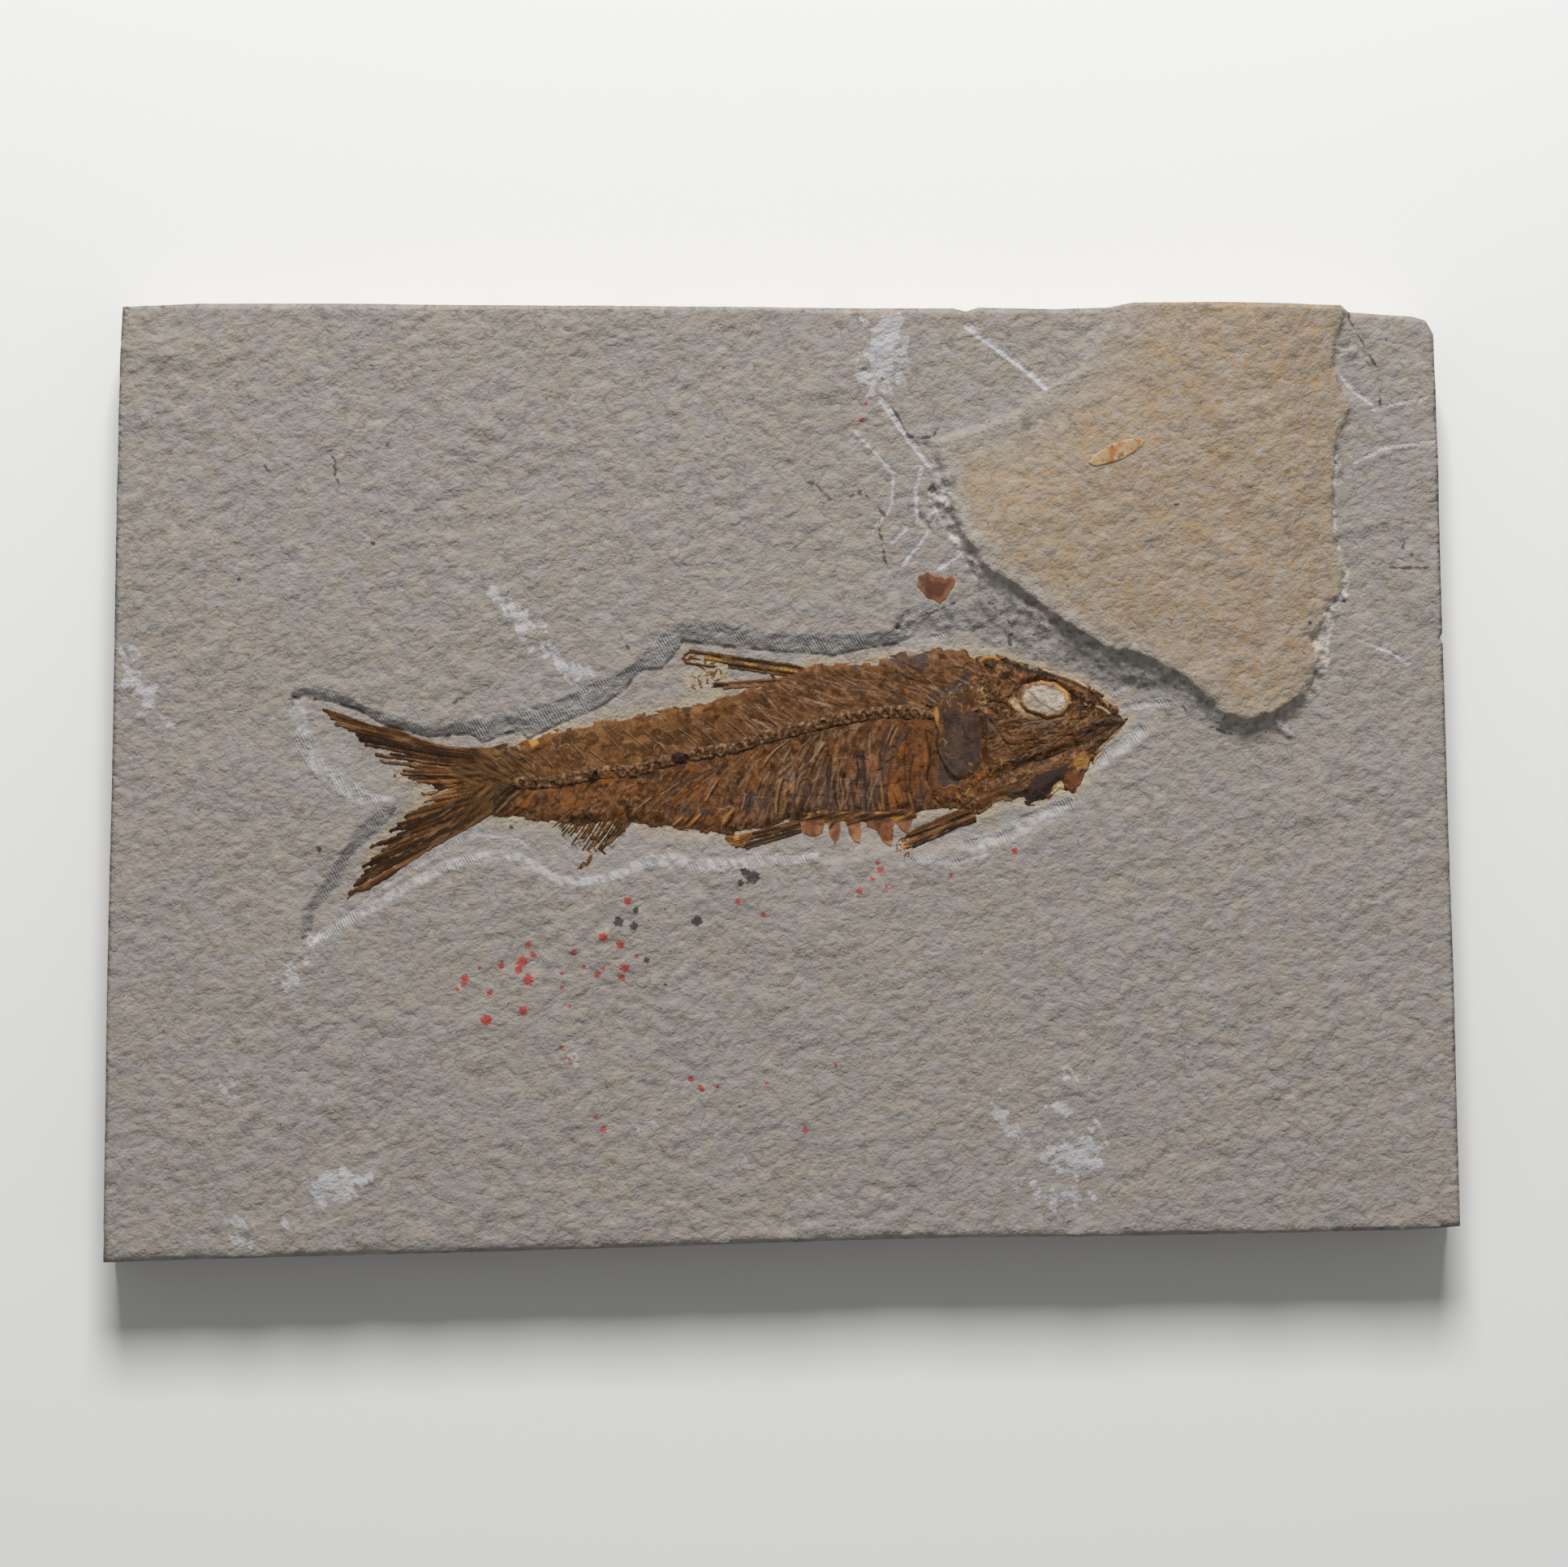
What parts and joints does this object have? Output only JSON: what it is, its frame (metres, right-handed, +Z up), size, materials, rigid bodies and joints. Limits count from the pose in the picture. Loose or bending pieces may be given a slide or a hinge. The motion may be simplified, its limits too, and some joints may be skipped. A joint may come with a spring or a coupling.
{
  "type": "knightia fossil fish",
  "caption": "Small brown fossil fish lying in a shallow recess on a flat sawn plate of pale limestone, with a broken tan remnant of the bed above.",
  "frame": {"origin": "under the middle of the plate, on its underside", "axes": "+X from the fish's tail to its head, +Y from its belly to its back, +Z up out of the stone's face"},
  "size_m": [0.1674, 0.1182, 0.0117],
  "materials": {
    "limestone": "matte, pebbly split surface",
    "skull_bone": "satin, crushed dark brown bone",
    "gill_plate": "smooth, slate brown bone",
    "vertebra_bone": "satin, knobbly dark bone",
    "flank_scales": "satin, thin brown scales over ribs",
    "red_brown_scale": "smooth, thin red-brown scale",
    "fin_rays": "satin, fine dark brown rays",
    "rusty_bone": "matte, rust orange bone"
  },
  "bodies": {
    "root": {"slab": "limestone", "skull": "skull_bone", "lower_jaw": "skull_bone", "gill_cover": "gill_plate", "backbone": "vertebra_bone", "upper_flank": "flank_scales", "lower_flank": "flank_scales", "belly_scutes": "red_brown_scale", "loose_scale": "red_brown_scale", "dorsal_fin": "fin_rays", "tail_fin_upper": "fin_rays", "tail_fin_lower": "fin_rays", "anal_fin": "fin_rays", "anal_fin_scrap": "fin_rays", "pelvic_fin": "fin_rays", "pectoral_fin": "fin_rays", "bone_fragment": "rusty_bone"}
  },
  "joints": []
}
